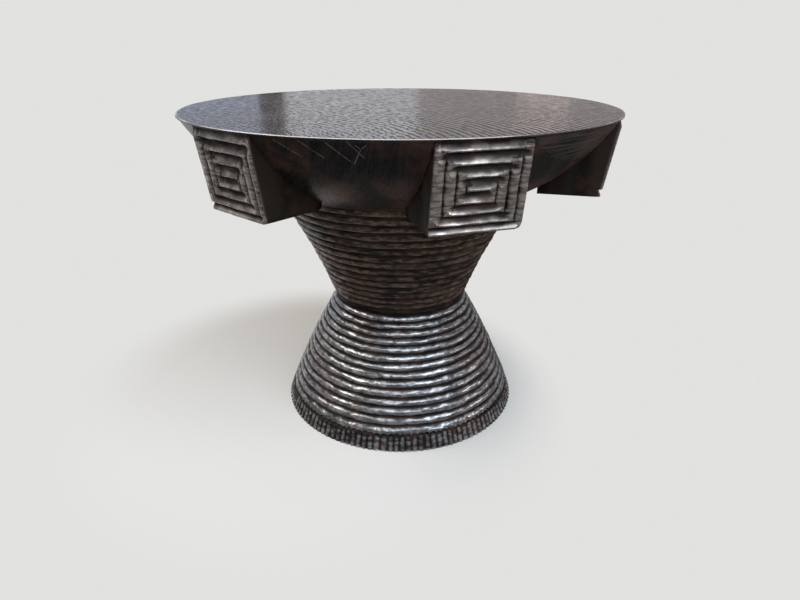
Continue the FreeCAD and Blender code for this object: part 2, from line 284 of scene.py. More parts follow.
# The ridged cones
def crest_line(share, end_radius, end_height, swell):
    """Radius, height and outward direction on the crest line, from the waist at 0 to the wide end at 1."""
    radius = WAIST_RADIUS + (end_radius - WAIST_RADIUS) * share + 4 * swell * share * (1 - share)
    height = WAIST_HEIGHT + (end_height - WAIST_HEIGHT) * share
    run = end_radius - WAIST_RADIUS + 4 * swell * (1 - 2 * share)
    rise = end_height - WAIST_HEIGHT
    length = np.hypot(run, rise)
    return radius, height, abs(rise) / length, -math.copysign(1, rise) * run / length


# Where the crest of a ridge is, as a share of its width from the waist. Its lower side is the steep one
LOWER_CREST_SHARE = 0.68
UPPER_CREST_SHARE = 0.34
CREST_LIMIT_SHARES = (0.2, 0.8)
BEAD_POWER = 2.2
RIDGE_DEPTH = 3.8
LIFT_WEAR_SHARE = 0.3

# The ridges next to the waist are shallower, and the upper one of them gets less of the rubbed colour and
# sheen: painted shade at the waist
FIRST_DEPTH_SHARE = 0.7
WAIST_SHADE_SHARE = 0.6

# Rows of the mesh across one ridge, as shares of its width
RIDGE_ROW_SHARES = (0, 0.05, 0.13, 0.23, 0.34, 0.45, 0.56, 0.67, 0.77, 0.87, 0.95)

# How uneven the cuts of the gouge are: a smooth change and its cells, a change by strokes and their number
EDGE_WANDER = 0.8
EDGE_UNEVEN = ((1, 17), (0.6, 31))
DEPTH_UNEVEN = ((0.12, 29), (0.16, 47))
LIFT_UNEVEN = ((0.35, 13), (0.35, 37))
SLIDE_UNEVEN = ((0.06, 23), (0.05, 41))
SMALL_UNEVEN = ((0.14, 90), (0.1, 230))


def bead(share, crest_share):
    """Height of a ridge across its width, from 0 in the groove to 1 on its crest."""
    share = np.clip(share, 0, 1)
    before = (crest_share - share) / crest_share
    behind = (share - crest_share) / (1 - crest_share)
    return 1 - np.where(share < crest_share, before, behind) ** BEAD_POWER


def ridged_rows(rng, angles, ridges, reach, cone, crest_share):
    """Rings of the ridges from the waist to reach, with a height for each point between groove and crest."""
    length = abs(cone[1] - WAIST_HEIGHT)
    upwards = cone[1] > WAIST_HEIGHT
    edges = [np.zeros_like(angles)]
    for k in range(1, ridges):
        along = k / ridges
        grown = along * (1 - RIDGE_GROWTH_SHARE + RIDGE_GROWTH_SHARE * along)
        shift = EDGE_WANDER * hand_cut(rng, angles, EDGE_UNEVEN)
        edges.append(np.mean(reach) * grown + shift / length)
    edges.append(reach * np.ones_like(angles))
    rows, crests = [], []
    for k in range(ridges):
        depth = RIDGE_DEPTH * hand_cut(rng, angles, DEPTH_UNEVEN, 1) * (FIRST_DEPTH_SHARE if k == 0 else 1)
        lift = hand_cut(rng, angles, LIFT_UNEVEN)
        slide = hand_cut(rng, angles, SLIDE_UNEVEN)
        # Painted shade: the upper cone's ridge next to the waist takes less of the rubbed colour and sheen
        waist_shade = WAIST_SHADE_SHARE if k == 0 and upwards else 1
        for share in RIDGE_ROW_SHARES:
            place = edges[k] + (edges[k + 1] - edges[k]) * share
            full = bead(share, np.clip(crest_share + slide, *CREST_LIMIT_SHARES))
            raised = lift + hand_cut(rng, angles, SMALL_UNEVEN)
            drop = depth * (1 - full) - raised * full
            radius, height, out, up = crest_line(place, *cone)
            rows.append(ring(angles, radius - drop * out, height - drop * up * (0 < place[0] < 1)))
            crests.append(waist_shade * (full + LIFT_WEAR_SHARE * raised * full))
    return rows, crests


def make_drum_upper(material):
    rng = np.random.default_rng(UPPER_SEED)
    angles = turn_angles(UPPER_COLUMNS)
    cone = (CROWN_RADIUS, UNDERSIDE, -UPPER_HOLLOW)
    ridges, crests = ridged_rows(rng, angles, UPPER_RIDGES, 1, cone, UPPER_CREST_SHARE)
    plain = np.zeros_like(angles)
    crown_floor = UNDERSIDE - TOP_TENON_LENGTH / 2 - END_GAP
    waist_ceiling = WAIST_HEIGHT + WAIST_TENON_LENGTH / 2 + END_GAP
    rows = mortise_rings(angles, TOP_TENON_SIDE, crown_floor, UNDERSIDE)
    rows.append(ring(angles, CROWN_RADIUS - RIDGE_DEPTH, UNDERSIDE))
    rows += ridges[::-1]
    rows += mortise_rings(angles, WAIST_TENON_SIDE, WAIST_HEIGHT, waist_ceiling)
    crests = [plain] * 3 + crests[::-1] + [plain] * 2
    thing = turned_object("upper_drum", np.array(rows), crown_floor, waist_ceiling, np.array(crests))
    finish_piece(thing, "drum_upper", "drum_wood", material)


# The band of reeds round the foot, each with a dome at its top
FLUTE_DEPTH = 2.6
REED_SHOULDER = 20.5
REED_CROWN = 3.2
REED_LIFT = 0.8
REED_DEPTH_SHARES = (0.8, 1.15)
REED_SHIFT_SHARE = 0.25
REED_CREST_SHARE = 0.74
REED_FOOT_SHARE = 0.5
DOME_HEIGHT = 4.5
REED_ROW_SHARES = (0, 0.03, 0.08, 0.14, 0.2, 0.3, 0.45, 0.6, 0.75, 0.88, 0.96)
FOOT_EASE = 1
FOOT_EASE_HEIGHT = 0.8


def make_drum_lower(material):
    rng = np.random.default_rng(LOWER_SEED)
    angles = turn_angles(LOWER_COLUMNS)
    cone = (FOOT_RADIUS, 0, LOWER_BULGE)
    place = angles / math.tau * FLUTE_COUNT + REED_SHIFT_SHARE * ring_noise(rng, angles, FLUTE_COUNT // 3)
    reed = np.round(place).astype(int) % FLUTE_COUNT
    across = np.clip(2 * (place - np.round(place)), -1, 1)
    crown = np.sqrt(1 - across**2)
    reed_lift = rng.uniform(-REED_LIFT, REED_LIFT, FLUTE_COUNT)[reed]
    reed_depth = FLUTE_DEPTH * rng.uniform(*REED_DEPTH_SHARES, FLUTE_COUNT)[reed]
    band_top = REED_SHOULDER + REED_CROWN * crown + reed_lift
    reach = 1 - band_top / WAIST_HEIGHT

    ridges, crests = ridged_rows(rng, angles, LOWER_RIDGES, reach, cone, LOWER_CREST_SHARE)
    plain = np.zeros_like(angles)
    floor = WAIST_HEIGHT - WAIST_TENON_LENGTH / 2 - END_GAP
    rows = mortise_rings(angles, WAIST_TENON_SIDE, floor, WAIST_HEIGHT) + ridges
    crests = [plain] * 2 + crests
    for share in REED_ROW_SHARES:
        height = band_top * (1 - share)
        radius, _, out, up = crest_line(1 - height / WAIST_HEIGHT, *cone)
        below = np.clip((band_top - height) / DOME_HEIGHT, 0, 1)
        end_drop = RIDGE_DEPTH * (1 - np.sqrt(1 - (1 - below) ** 2))
        drop = end_drop + reed_depth * (1 - crown) * below
        rows.append(ring(angles, radius - drop * out, height - drop * up * (1 - share)))
        crests.append(REED_CREST_SHARE * crown * below)
    foot = crest_line(1, *cone)[0] - reed_depth * (1 - crown)
    rows += [ring(angles, foot, FOOT_EASE_HEIGHT), ring(angles, foot - FOOT_EASE, 0)]
    rows += [ring(angles, DISH_RADIUS + FOOT_EASE, 0), ring(angles, DISH_RADIUS, FOOT_EASE)]
    rows.append(ring(angles, DISH_RADIUS, DISH_DEPTH))
    crests += [crown * REED_FOOT_SHARE] + [plain] * 4
    thing = turned_object("lower_drum", np.array(rows), floor, DISH_DEPTH, np.array(crests))
    finish_piece(thing, "drum_lower", "drum_wood", material)


# The top with its bowl
FACE_ROW_SHARES = (0.05, 0.2, 0.4, 0.6, 0.75, 0.86, 0.93, 0.97)
FACE_WAVE = 0.12
FACE_WAVE_CELLS = (2, 20)
ARRIS = 0.8
ARRIS_CHANGE_SHARE = 0.3
ARRIS_CELLS = 43
ARRIS_STEP = 18
RIM_EASE = 0.3
RIM_UNEVEN = 0.1
BOWL_UNEVEN = 0.12
UNEVEN_CELLS = (37, 113)
UNEVEN_SECOND_SHARE = 0.6
BOWL_STEPS = 36
PLAIN_CREST = 0.5

# Faces of the top that look up this much and lie this little below its height are polished
POLISHED_UP = 0.2
POLISHED_DEPTH = 2


def arc_points(start, end, rise, shares):
    """Points on a shallow arc that rises to the right of the way from start to end."""
    start, end = np.array(start, float), np.array(end, float)
    along = end - start
    chord = np.hypot(*along)
    right = np.array([along[1], -along[0]]) / chord
    radius = (chord**2 / 4 + rise**2) / (2 * rise)
    centre = (start + end) / 2 + right * (rise - radius)
    half = math.asin(chord / 2 / radius)
    points = []
    for share in shares:
        turn = (2 * share - 1) * half
        points.append(centre + radius * (right * math.cos(turn) + along / chord * math.sin(turn)))
    return points


def make_top(polish, bowl):
    rng = np.random.default_rng(TOP_SEED)
    angles = turn_angles(TOP_COLUMNS)
    rim_low = TABLE_HEIGHT - RIM_THICKNESS
    rows, crests = [], []

    def add(radius, height, crest=PLAIN_CREST, uneven=0.0):
        first, second = (ring_noise(rng, angles, cells) for cells in UNEVEN_CELLS)
        rows.append(ring(angles, radius + uneven * (first + UNEVEN_SECOND_SHARE * second), height))
        crests.append(np.full(angles.shape, crest))

    for share in FACE_ROW_SHARES:
        cells = FACE_WAVE_CELLS[0] + int(FACE_WAVE_CELLS[1] * share)
        wave = FACE_WAVE * ring_noise(rng, angles, cells)
        add(share * (TOP_RADIUS - ARRIS), TABLE_HEIGHT - FACE_WAVE + wave)
    arris = ARRIS * (1 + ARRIS_CHANGE_SHARE * ring_noise(rng, angles, ARRIS_CELLS))
    # The arris rows have crest 1, where the polished face paints its bare rim, partly a painted highlight
    for turn in range(0, 90 + ARRIS_STEP, ARRIS_STEP):
        c, s = math.cos(math.radians(turn)), math.sin(math.radians(turn))
        add(TOP_RADIUS - arris * (1 - s), TABLE_HEIGHT - arris * (1 - c), 1.0)
    add(TOP_RADIUS, rim_low + RIM_EASE, uneven=RIM_UNEVEN)
    add(TOP_RADIUS - RIM_EASE, rim_low)
    add(TOP_RADIUS - RIM_OVERHANG, rim_low)
    bowl_start = (TOP_RADIUS - RIM_OVERHANG, rim_low)
    bowl_end = (BOWL_FLOOR_RADIUS, UNDERSIDE)
    shares = [k / BOWL_STEPS for k in range(1, BOWL_STEPS)]
    for radius, height in arc_points(bowl_end, bowl_start, BOWL_BULGE, shares)[::-1]:
        add(radius, height, uneven=BOWL_UNEVEN)
    add(BOWL_FLOOR_RADIUS, UNDERSIDE)
    ceiling = UNDERSIDE + TOP_TENON_LENGTH / 2 + END_GAP
    rows += mortise_rings(angles, TOP_TENON_SIDE, UNDERSIDE, ceiling)
    crests += [np.zeros_like(angles)] * 2
    thing = turned_object("top", np.array(rows), TABLE_HEIGHT - FACE_WAVE, ceiling, np.array(crests))

    # The housings of the blocks and the mortises of their tongues
    cutters = []
    depths = (-TOP_RADIUS - HOUSING_OVERRUN, -LUG_INNER_RADIUS)
    heights = (UNDERSIDE - HOUSING_OVERRUN, LUG_TOP)
    for number in range(1, LUG_COUNT + 1):
        cutters.append(box_cutter(LUG_WIDTH / 2 + GLUE_GAP, depths, heights, lug_turn(number)))
        cutters.append(tongue_cutter(1, lug_turn(number)))
    cut(thing, cutters)
    finish_piece(thing, "table_top", "top_wood", bowl, polish)
    lowest = (TABLE_HEIGHT - POLISHED_DEPTH) * MM
    for face in thing.data.polygons:
        face.material_index = int(face.normal.z > POLISHED_UP and face.center.z > lowest)


# The carved blocks. Their faces reach a little further out and down than those of the part
LUG_TOP_RADIUS = 296.5
LUG_FOOT = 358
FACE_COLUMNS = 170
FACE_ROWS = 150

# Places of the spiral groove on a block's face, as shares of its width from the left and height from the top
GROOVE_START_SHARE = -0.1
LEFT_COLUMN_SHARES = (0.123, 0.247, 0.352)
RIGHT_COLUMN_SHARES = (0.910, 0.790, 0.674)
TOP_ROW_SHARES = (0.127, 0.263, 0.400)
BOTTOM_ROW_SHARES = (0.909, 0.793, 0.677, 0.543)
CENTRE_END_SHARE = 0.590

# Corners of the face are round by these radii: top left, top right, lower left, lower right
CORNER_RADII = (5, 5, 1, 9)
EDGE_SHOULDER = 3.5
EDGE_DROP = 1.5

# The groove, and the hollow that the gouge leaves under each level leg of it
GROOVE_DEPTH = 5.6
GROOVE_HALF = 1.6
GROOVE_SHARE = 0.15
SIDE_SHOULDER = 5
LIP_WIDTH = 2.6
LIP_SHARE = 0.8
HEAD_WIDTH = 11
HEAD_SHARE = 0.75
HOLLOW_POWER = 1.6
CREST_DROP = 0.4
UPRIGHT_SHARE = 0.8
ROW_MARGIN_SHARE = 0.01

# Keeps the distance from a leg above zero
SMALLEST = 1e-6

# How uneven the carving is, as amounts and cells over the face
WANDER_LAYERS = ((0.5, 6), (0.3, 14))
DEPTH_CHANGE_LAYERS = ((0.13, 9),)
FACE_LAYERS = ((0.3, 7), (0.14, 23))
HATCH_CELLS = ((60, 5), (5, 54))
HATCH_DEPTH = 0.12

# The tool marks follow the face stretched along and across each leg, and level legs lie apart from the rest
LEVEL_MARKS = (0.12, 1.5)
UPRIGHT_MARKS = (0.75, 1)
LEVEL_APART = 50
SIDE_MARKS = (0.2, 0.2, 1)
PLACE_REACH = 500

# Rings of the sides of a block, as shares of the way back, and the part of it that takes up the face's relief
SIDE_ROW_SHARES = (0.02, 0.06, 0.12, 0.25, 0.4, 0.55, 0.7, 0.85, 1)
SIDE_BLEND_SHARE = 0.12
EDGE_CREST_SHARE = 0.04
EDGE_CREST = 0.35


def spiral_line():
    """Corners of the groove's middle line, as shares of the face's width and height."""
    line = [(GROOVE_START_SHARE, BOTTOM_ROW_SHARES[0])]
    for k in range(3):
        line.append((RIGHT_COLUMN_SHARES[k], BOTTOM_ROW_SHARES[k]))
        line.append((RIGHT_COLUMN_SHARES[k], TOP_ROW_SHARES[k]))
        line.append((LEFT_COLUMN_SHARES[k], TOP_ROW_SHARES[k]))
        line.append((LEFT_COLUMN_SHARES[k], BOTTOM_ROW_SHARES[k + 1]))
    line.append((CENTRE_END_SHARE, BOTTOM_ROW_SHARES[3]))
    return line


def shoulder(distance, width):
    """Drop below the crest beside a groove or an edge, from 1 at distance 0 to 0 past the width."""
    across = 1 - np.clip(distance / width, 0, 1)
    return 1 - np.sqrt(1 - across**2)


def rounded(x, y, width, height):
    """Moves the points of a rectangle so that its corners are round."""
    x, y = x.copy(), y.copy()
    for k, radius in enumerate(CORNER_RADII):
        side, floor = (-1, 1)[k % 2], (1, -1)[k // 2]
        centre_x, centre_y = side * (width / 2 - radius), floor * (height / 2 - radius)
        a = np.clip((x - centre_x) * side / radius, 0, None)
        b = np.clip((y - centre_y) * floor / radius, 0, None)
        inside = (a > 0) & (b > 0)
        x = np.where(inside, centre_x + side * radius * a * np.sqrt(1 - b**2 / 2), x)
        y = np.where(inside, centre_y + floor * radius * b * np.sqrt(1 - a**2 / 2), y)
    return x, y


def legs(x, y, corners):
    """The legs of a line: whether each is level, its height, and how far over and from it the points are."""
    for (x1, y1), (x2, y2) in zip(corners[:-1], corners[1:]):
        dx, dy = x2 - x1, y2 - y1
        share = np.clip(((x - x1) * dx + (y - y1) * dy) / (dx * dx + dy * dy), 0, 1)
        across, over = x - x1 - share * dx, y - y1 - share * dy
        yield abs(dx) > abs(dy), y1, over, np.hypot(across, over)


def level_places(x, y, corners):
    """Whether the nearest leg of a line runs across the face."""
    best = np.full(x.shape, np.inf)
    found = np.zeros(x.shape, bool)
    for level, _, _, distance in legs(x, y, corners):
        found = np.where(distance < best, level, found)
        best = np.minimum(best, distance)
    return found


def hollow_width(place, slope):
    """Distance on the face from a level leg down to the next one, less the lip."""
    share = 0.5 - place / slope
    rows = [row for row in (*TOP_ROW_SHARES, *BOTTOM_ROW_SHARES, 1) if row > share + ROW_MARGIN_SHARE]
    return (min(rows) - share) * slope - LIP_SHARE * LIP_WIDTH


def carved_drop(x, y, corners, slope):
    """Drop below the crest beside the groove, from 0 to 1."""
    drop = np.zeros(x.shape)
    for level, place, over, distance in legs(x, y, corners):
        distance = distance + SMALLEST
        here = shoulder(distance, SIDE_SHOULDER)
        if level:
            under = 0.5 - 0.5 * over / distance
            rise = np.clip(distance / hollow_width(place, slope), 0, 1)
            hollow = (1 - GROOVE_SHARE) * (1 - rise**HOLLOW_POWER)
            hollow = hollow + GROOVE_SHARE * np.clip(1 - distance / GROOVE_HALF, 0, 1)
            here = hollow * under + shoulder(distance, LIP_WIDTH) * (1 - under)
        drop = np.maximum(drop, here)
    return drop


def carved_face(rng, slope):
    """Points of a block's face on its slope, their drop, their wear and the places of their tool marks."""
    u, v = np.meshgrid(np.linspace(0, 1, FACE_COLUMNS), np.linspace(0, 1, FACE_ROWS))
    flat_x, flat_y = (u - 0.5) * LUG_WIDTH, (0.5 - v) * slope
    wander_x = layered_noise(rng, u, v, WANDER_LAYERS)
    wander_y = layered_noise(rng, u, v, WANDER_LAYERS)
    line = [((a - 0.5) * LUG_WIDTH, (0.5 - b) * slope) for a, b in spiral_line()]
    level = level_places(flat_x, flat_y, line)
    carved = carved_drop(flat_x + wander_x, flat_y + wander_y, line, slope)
    edge = np.minimum(LUG_WIDTH / 2 - np.abs(flat_x), slope / 2 - np.abs(flat_y))
    deep = GROOVE_DEPTH * (1 + layered_noise(rng, u, v, DEPTH_CHANGE_LAYERS))
    head = np.clip((slope / 2 - flat_y) / HEAD_WIDTH, 0, 1)
    drop = np.maximum(deep * carved, EDGE_DROP * shoulder(edge, EDGE_SHOULDER))
    drop = np.maximum(drop, HEAD_SHARE * GROOVE_DEPTH * (1 - head**HOLLOW_POWER))
    hatch = np.where(level, *(field_noise(rng, u, v, *cells) for cells in HATCH_CELLS))
    uneven = layered_noise(rng, u, v, FACE_LAYERS) + HATCH_DEPTH * hatch
    drop = drop - uneven * (1 - np.clip(drop / GROOVE_DEPTH, 0, 1)) + CREST_DROP
    crest = (1 - np.clip(drop / GROOVE_DEPTH, 0, 1)) * np.where(level, 1, UPRIGHT_SHARE)
    along = np.where(level, LEVEL_MARKS[0] * flat_x, UPRIGHT_MARKS[0] * flat_y)
    across = np.where(level, LEVEL_MARKS[1] * flat_y, UPRIGHT_MARKS[1] * flat_x)
    marks = np.stack([along, across, level * LEVEL_APART], axis=-1)
    return *rounded(flat_x, flat_y, LUG_WIDTH, slope), drop, crest, marks


def make_lug(number, material):
    rng = np.random.default_rng(LUG_SEED + number)
    slope = math.hypot(LUG_TOP - LUG_FOOT, LUG_LEAN)
    x, y, drop, crest, marks = carved_face(rng, slope)

    # The face leans, so its places are worked out from the slope
    lean = math.atan2(LUG_LEAN, LUG_TOP - LUG_FOOT)
    down = slope / 2 - y
    front_y = -(LUG_TOP_RADIUS - down * math.sin(lean)) + drop * math.cos(lean)
    front_z = np.clip(LUG_TOP - down * math.cos(lean) + drop * math.sin(lean), LUG_FOOT, LUG_TOP)
    face = np.stack([x, front_y, front_z], axis=-1)

    # The sides run back from the border of the face
    index = np.arange(face.shape[0] * face.shape[1]).reshape(face.shape[:2])
    corners = (index[:-1, :-1], index[1:, :-1], index[1:, 1:], index[:-1, 1:])
    quads = [np.stack(corners, axis=-1).reshape(-1, 4)]
    loop = np.concatenate([index[:-1, 0], index[-1, :-1], index[:0:-1, -1], index[0, :0:-1]])
    border = face.reshape(-1, 3)[loop]
    points, crests = [face.reshape(-1, 3)], [crest.ravel()]
    last, start = loop, index.size
    back = -(LUG_INNER_RADIUS + GLUE_GAP)
    plain_z = LUG_TOP - (slope / 2 - y.ravel()[loop]) * math.cos(lean)
    for share in SIDE_ROW_SHARES:
        side = border.copy()
        side[:, 1] += (back - border[:, 1]) * share
        side[:, 2] += (plain_z - border[:, 2]) * min(1, share / SIDE_BLEND_SHARE)
        here = start + np.arange(len(loop))
        quads.append(np.stack([last, here, np.roll(here, -1), np.roll(last, -1)], axis=-1))
        points.append(side)
        crests.append(np.full(len(loop), EDGE_CREST if share < EDGE_CREST_SHARE else 0.0))
        last, start = here, start + len(loop)
    points.append(np.array([[0, back, (LUG_TOP + LUG_FOOT) / 2]]))
    crests.append(np.array([0]))
    caps = np.stack([last, np.full(len(loop), start), np.roll(last, -1)], axis=-1)

    # Each block has its own grain
    points = np.concatenate(points)
    marks = np.concatenate([marks.reshape(-1, 3), points[index.size :] * SIDE_MARKS])
    grain = points + rng.uniform(-PLACE_REACH, PLACE_REACH, 3)
    marks = marks + rng.uniform(-PLACE_REACH, PLACE_REACH, 3)
    turn = lug_turn(number)
    faces = (*quads, caps)
    thing = make_object(f"lug_{number}", turned(points, turn), faces, np.concatenate(crests), grain, marks)
    cut(thing, [tongue_cutter(-1, turn)])
    finish_piece(thing, f"lug_block_{number}", "lug_wood", material)


# Nodes of the materials. A value is a node with the name of its output
def link(tree, source, output, target, entry):
    tree.links.new(source.outputs[output], target.inputs[entry])


def add_node(tree, kind, **values):
    """A shader node. Values are set on its inputs by name, or on its own properties."""
    made = tree.nodes.new(kind)
    for key, value in values.items():
        if hasattr(made, key):
            setattr(made, key, value)
        else:
            made.inputs[key.replace("_", " ")].default_value = value
    return made


def new_material(name):
    material = bpy.data.materials.new(name)
    material.use_nodes = True
    return material, material.node_tree, material.node_tree.nodes["Principled BSDF"]


def attribute(tree, name, output="Vector"):
    return add_node(tree, "ShaderNodeAttribute", attribute_name=name), output


def noise(tree, place, scale=1.0, detail=4.0, roughness=0.6, stretch=None):
    """A noise texture on the places given. Stretch is the scale along each axis."""
    if stretch is not None:
        mapping = add_node(tree, "ShaderNodeMapping", Scale=stretch)
        link(tree, *place, mapping, "Vector")
        place = (mapping, "Vector")
    made = add_node(tree, "ShaderNodeTexNoise", Scale=scale, Detail=detail, Roughness=roughness)
    link(tree, *place, made, "Vector")
    return made, "Fac"


def maths(tree, operation, first, second=None):
    """One step of arithmetic on values or numbers."""
    made = add_node(tree, "ShaderNodeMath", operation=operation)
    for k, value in enumerate((first, second)):
        if isinstance(value, tuple):
            link(tree, *value, made, k)
        elif value is not None:
            made.inputs[k].default_value = value
    return made, "Value"


def weighted(tree, *terms):
    """The sum of values, each times its weight."""
    total = None
    for value, weight in terms:
        part = maths(tree, "MULTIPLY", value, weight)
        total = part if total is None else maths(tree, "ADD", total, part)
    return total


def stepped(tree, source, low, high, smallest=0.0, largest=1.0):
    """Maps the range from low to high of a value to another range and stops at its ends."""
    made = add_node(tree, "ShaderNodeMapRange", interpolation_type="SMOOTHSTEP")
    link(tree, *source, made, "Value")
    for key, value in (("From Min", low), ("From Max", high), ("To Min", smallest), ("To Max", largest)):
        made.inputs[key].default_value = value
    return made, "Result"


def blended(tree, share, first, second):
    """A colour between two colours, each a value or three numbers."""
    made = add_node(tree, "ShaderNodeMix", data_type="RGBA")
    link(tree, *share, made, "Factor")
    for key, colour in (("A", first), ("B", second)):
        socket = next(s for s in made.inputs if s.name == key and s.type == "RGBA")
        if isinstance(colour[0], (int, float)):
            socket.default_value = (*colour, 1)
        else:
            tree.links.new(colour[0].outputs[colour[1]], socket)
    return made, next(k for k, s in enumerate(made.outputs) if s.type == "RGBA")


def vector_maths(tree, operation, source, constant, output="Value"):
    """One step of vector arithmetic with a constant."""
    made = add_node(tree, "ShaderNodeVectorMath", operation=operation)
    link(tree, *source, made, 0)
    made.inputs[1].default_value = constant
    return made, output


def bump_chain(tree, shader, layers):
    """Bumps on top of each other, each a height, a strength and a distance."""
    before = None
    for height, strength, distance in layers:
        bump = add_node(tree, "ShaderNodeBump", Strength=strength, Distance=distance)
        link(tree, *height, bump, "Height")
        if before is not None:
            link(tree, before, "Normal", bump, "Normal")
        before = bump
    link(tree, before, "Normal", shader, "Normal")


def shaded(colour, factor):
    return tuple(factor * part for part in colour)


# Materials. Each range says between which values of a noise a colour or a roughness changes
LIGHT_RANGE = (0.38, 0.62)
STREAK_RANGE = (0.35, 0.65)
SPECK_RANGE = (0.3, 0.7)


def carved_wood(name, marks, relief, stain, red, worn, wear, break_up, metal, gloss, roughness):
    """Dark stained wood cut with a gouge: tool marks, black grooves, and crests rubbed to a grey sheen.
    Marks says which places the tool marks follow, and how they are stretched along and across."""
    material, tree, shader = new_material(name)
    grain = attribute(tree, "grain")
    run = attribute(tree, marks[0])
    crest = attribute(tree, "crest", "Fac")
    hatch = noise(tree, run, detail=1.0, roughness=0.5, stretch=marks[1])
    streak = noise(tree, run, detail=1.5, roughness=0.5, stretch=marks[2])
    cloud = noise(tree, grain, scale=32.0, detail=3.0)
    speck = noise(tree, grain, scale=320.0, detail=1.0)
    marked = weighted(tree, (hatch, 0.6), (streak, 0.4))

    # The stain is uneven, and reddish where it is thin
    dark = blended(tree, stepped(tree, streak, *STREAK_RANGE), shaded(stain, 0.5), shaded(stain, 1.5))
    brown = blended(tree, stepped(tree, cloud, 0.48, 0.66, 0, 0.8), dark, red)

    # Wear grows from the sides of a ridge to its crest and breaks up along the tool marks
    broken = maths(tree, "MULTIPLY", maths(tree, "SUBTRACT", marked, 0.5), break_up)
    height = maths(tree, "ADD", crest, broken)
    rubbed = stepped(tree, height, *wear)
    patchy = stepped(tree, noise(tree, grain, scale=14.0, detail=2.0), 0.32, 0.62, 0.55, 1.0)
    rubbed = maths(tree, "MULTIPLY", rubbed, patchy)
    light = blended(tree, stepped(tree, hatch, *LIGHT_RANGE), shaded(worn, 0.6), shaded(worn, 1.3))
    link(tree, *blended(tree, rubbed, brown, light), shader, "Base Color")
    link(tree, *maths(tree, "MULTIPLY", rubbed, metal), shader, "Metallic")
    link(tree, *stepped(tree, height, wear[0] - 0.2, wear[1], 0.12, gloss), shader, "Specular IOR Level")
    fine = stepped(tree, speck, *SPECK_RANGE, -0.05, 0.08)
    rough = maths(tree, "ADD", fine, stepped(tree, height, wear[0] - 0.3, wear[1], 0.6, roughness))
    link(tree, *rough, shader, "Roughness")
    layers = (
        (cloud, 0.3, 0.003),
        (streak, 0.7, relief[0]),
        (hatch, 0.6, relief[1]),
        (speck, 0.3, 0.0002),
    )
    bump_chain(tree, shader, layers)
    return material


# The rings of the tree run round a point beyond the rim of the top
PITH = (-0.43, -0.28, 0.0)
RING_SPACING = 0.0085
RING_TILT = 0.15
RING_DRIFT = 5.0

# Bends of the rings: the scale of each and its share of the wobble
RING_BENDS = ((5.0, 1.0), (24.0, 0.1))
TOP_WOBBLE = 0.02
BOWL_WOBBLE = 0.03


def ring_places(tree, grain, wobble):
    """Places on the growth rings: distance from the pith, bent a little, and the way round it."""
    parts = add_node(tree, "ShaderNodeSeparateXYZ")
    link(tree, *vector_maths(tree, "SUBTRACT", grain, PITH, "Vector"), parts, "Vector")
    x, y, z = ((parts, axis) for axis in "XYZ")
    squares = maths(tree, "ADD", maths(tree, "MULTIPLY", x, x), maths(tree, "MULTIPLY", y, y))
    away = maths(tree, "ADD", maths(tree, "SQRT", squares), maths(tree, "MULTIPLY", z, RING_TILT))
    for scale, share in RING_BENDS:
        bend = maths(tree, "SUBTRACT", noise(tree, grain, scale=scale, detail=2.0), 0.5)
        away = maths(tree, "ADD", away, maths(tree, "MULTIPLY", bend, share * wobble))
    made = add_node(tree, "ShaderNodeCombineXYZ")
    link(tree, *away, made, "X")
    link(tree, *maths(tree, "ARCTAN2", y, x), made, "Y")
    link(tree, *z, made, "Z")
    return made, "Vector"


# The growth rings show more on the side of the top that is right in the picture
PLAIN_SIDE = (-0.06, 0.1)
RING_STRENGTHS = (0.14, 0.5)
TOP_DARK = (0.009, 0.007, 0.0065)
TOP_LIGHT = (0.055, 0.043, 0.038)
BARE_RIM_HIGHLIGHT = (0.42, 0.42, 0.42)


def polished_top():
    """The polished face of the top, with the growth rings and pores as fine relief in the lacquer."""
    material, tree, shader = new_material("polished_wood")
    grain = attribute(tree, "grain")
    edge = attribute(tree, "crest", "Fac")
    rings = ring_places(tree, grain, TOP_WOBBLE)
    wide = noise(tree, rings, detail=1.0, roughness=0.5, stretch=(45, 4, 4))
    fine = noise(tree, rings, detail=1.0, roughness=0.5, stretch=(400, 44, 4))
    parts = add_node(tree, "ShaderNodeSeparateXYZ")
    link(tree, *rings, parts, "Vector")
    turns = weighted(tree, ((parts, "X"), math.tau / RING_SPACING), (wide, RING_DRIFT))
    side = vector_maths(tree, "DOT_PRODUCT", grain, studio_direction(90, 0))
    shown = stepped(tree, side, *PLAIN_SIDE, *RING_STRENGTHS)
    years = maths(tree, "ADD", maths(tree, "MULTIPLY", maths(tree, "SINE", turns), shown), 0.5)
    ripple = noise(tree, grain, scale=20.0, detail=2.0)
    pores = noise(tree, grain, scale=260.0, detail=1.0)
    cloud = noise(tree, grain, scale=7.0, detail=3.0)

    # The stain varies from place to place and along the rings, and the rim is rubbed bare in patches of pale
    # grey that are partly a painted highlight on the arris
    mixed = weighted(tree, (years, 0.25), (fine, 0.35), (cloud, 0.4))
    tone = blended(tree, stepped(tree, mixed, *STREAK_RANGE), TOP_DARK, TOP_LIGHT)
    rubbed = stepped(tree, noise(tree, grain, scale=8.0, detail=2.0), 0.4, 0.58, 0.1, 1.0)
    rubbed = maths(tree, "MULTIPLY", rubbed, stepped(tree, edge, 0.85, 1.0))
    link(tree, *blended(tree, rubbed, tone, BARE_RIM_HIGHLIGHT), shader, "Base Color")

    # The lacquer is dull in the lines of the rings and shines between them
    lines = weighted(tree, (years, 0.32), (fine, 0.68))
    smear = stepped(tree, cloud, *STREAK_RANGE, -0.02, 0.06)
    link(tree, *maths(tree, "ADD", stepped(tree, lines, 0.42, 0.54, 0.54, 0.07), smear), shader, "Roughness")
    layers = (
        (ripple, 0.6, 0.0008),
        (years, 0.25, 0.0005),
        (fine, 0.3, 0.0004),
        (pores, 0.35, 0.0003),
    )
    bump_chain(tree, shader, layers)
    return material
